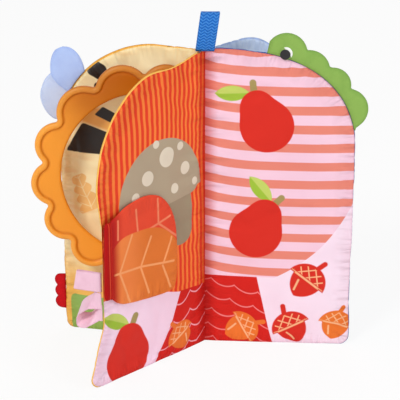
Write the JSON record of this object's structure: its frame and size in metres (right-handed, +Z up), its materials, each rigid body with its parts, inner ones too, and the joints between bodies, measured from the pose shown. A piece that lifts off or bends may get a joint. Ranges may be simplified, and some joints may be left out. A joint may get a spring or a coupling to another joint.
{
  "type": "baby soft book",
  "caption": "Padded cloth baby book standing open like a fan, with a moulded scalloped frame page, a fabric flap, ribbon tags, felt edge shapes and a hanging loop.",
  "frame": {"origin": "foot of the spine, at the centre of the spine core on the standing surface", "axes": "+Z up along the spine, -Y towards the open spread, +X towards the right page"},
  "size_m": [0.2344, 0.1596, 0.245],
  "materials": {
    "page_pink": "printed polyester page cloth, satin",
    "page_red": "printed polyester page cloth, satin",
    "cover_cream": "printed polyester cover cloth, satin",
    "cover_pale_blue": "plain polyester cover cloth, satin",
    "cloth_gold": "plain polyester cloth",
    "cloth_deep_blue": "plain polyester cloth",
    "wadding": "polyester wadding",
    "tape_red": "seam tape",
    "mane_rubber": "soft moulded rubber, satin",
    "flap_cloth": "printed cloth, padded",
    "flap_cloth_red": "plain cloth, padded",
    "ribbon_pink": "satin ribbon",
    "webbing_blue": "ribbed webbing",
    "felt_blue": "felt",
    "felt_lavender": "felt",
    "felt_red": "felt",
    "felt_green": "felt",
    "print_white": "printed spot",
    "print_black": "printed spot"
  },
  "bodies": {
    "spine": {"spine_core": "tape_red"},
    "loop": {"hang_loop": "webbing_blue"},
    "right_leaf": {"right_leaf_front_cloth": "page_pink", "right_leaf_back_cloth": "cloth_deep_blue", "right_leaf_wadding": "wadding", "right_leaf_hinge_tape": "tape_red", "green_head": "felt_green", "eye_white": "print_white", "eye_pupil": "print_black"},
    "left_leaf": {"left_leaf_front_cloth": "page_red", "left_leaf_back_cloth": "cloth_gold", "left_leaf_wadding": "wadding", "left_leaf_hinge_tape": "tape_red"},
    "leaf_flap": {"leaf_flap_front_cloth": "flap_cloth", "leaf_flap_back_cloth": "flap_cloth_red", "leaf_flap_roll": "flap_cloth_red"},
    "upper_tag": {"upper_tag": "ribbon_pink"},
    "lower_tag": {"lower_tag": "ribbon_pink"},
    "mane": {"mane_frame": "mane_rubber", "mane_upper_tape": "tape_red", "mane_lower_tape": "tape_red"},
    "front_cover": {"front_cover_front_cloth": "cover_cream", "front_cover_back_cloth": "cloth_gold", "front_cover_wadding": "wadding", "front_cover_hinge_tape": "tape_red", "red_comb": "felt_red"},
    "upper_wing": {"upper_wing": "felt_blue"},
    "lower_wing": {"lower_wing": "felt_lavender"},
    "back_cover": {"back_cover_front_cloth": "cover_pale_blue", "back_cover_back_cloth": "cover_pale_blue", "back_cover_wadding": "wadding", "back_cover_hinge_tape": "tape_red"}
  },
  "joints": [
    {"name": "right_leaf_turn", "type": "hinge", "parent": "spine", "child": "right_leaf", "pos_m": [0, 0, 0], "axis": [0, 0, 1], "range_deg": [-20, 20]},
    {"name": "back_cover_turn", "type": "hinge", "parent": "right_leaf", "child": "back_cover", "pos_m": [0, 0, 0], "axis": [0, 0, 1], "range_deg": [-38, 12]},
    {"name": "left_leaf_turn", "type": "hinge", "parent": "right_leaf", "child": "left_leaf", "pos_m": [0, 0, 0], "axis": [0, 0, -1], "range_deg": [-109, 48]},
    {"name": "mane_turn", "type": "hinge", "parent": "left_leaf", "child": "mane", "pos_m": [0, 0, 0], "axis": [0, 0, -1], "range_deg": [-28, 16]},
    {"name": "front_cover_turn", "type": "hinge", "parent": "mane", "child": "front_cover", "pos_m": [0, 0, 0], "axis": [0, 0, -1], "range_deg": [-2, 24]},
    {"name": "flap_open", "type": "hinge", "parent": "left_leaf", "child": "leaf_flap", "pos_m": [-0.06399, -0.07106, 0.0922], "axis": [0, 0, -1], "range_deg": [0, 150]},
    {"name": "upper_tag_turn", "type": "hinge", "parent": "left_leaf", "child": "upper_tag", "pos_m": [-0.06951, -0.06951, 0.0765], "axis": [0, 0, 1], "range_deg": [-30, 60]},
    {"name": "lower_tag_turn", "type": "hinge", "parent": "left_leaf", "child": "lower_tag", "pos_m": [-0.06951, -0.06951, 0.0585], "axis": [0, 0, 1], "range_deg": [-30, 60]},
    {"name": "upper_wing_bend", "type": "hinge", "parent": "front_cover", "child": "upper_wing", "pos_m": [-0.09135, 0.02006, 0.19051], "axis": [0.5725, -0.1322, 0.8092], "range_deg": [0, 40], "stiffness_Nm_per_rad": 0.01},
    {"name": "lower_wing_bend", "type": "hinge", "parent": "front_cover", "child": "lower_wing", "pos_m": [-0.10001, 0.02412, 0.17282], "axis": [0.3276, -0.0756, 0.9418], "range_deg": [-40, 0], "stiffness_Nm_per_rad": 0.01},
    {"name": "loop_bend", "type": "hinge", "parent": "spine", "child": "loop", "pos_m": [0, 0, 0.21988], "axis": [1, 0, 0], "range_deg": [-50, 50], "stiffness_Nm_per_rad": 0.004}
  ]
}
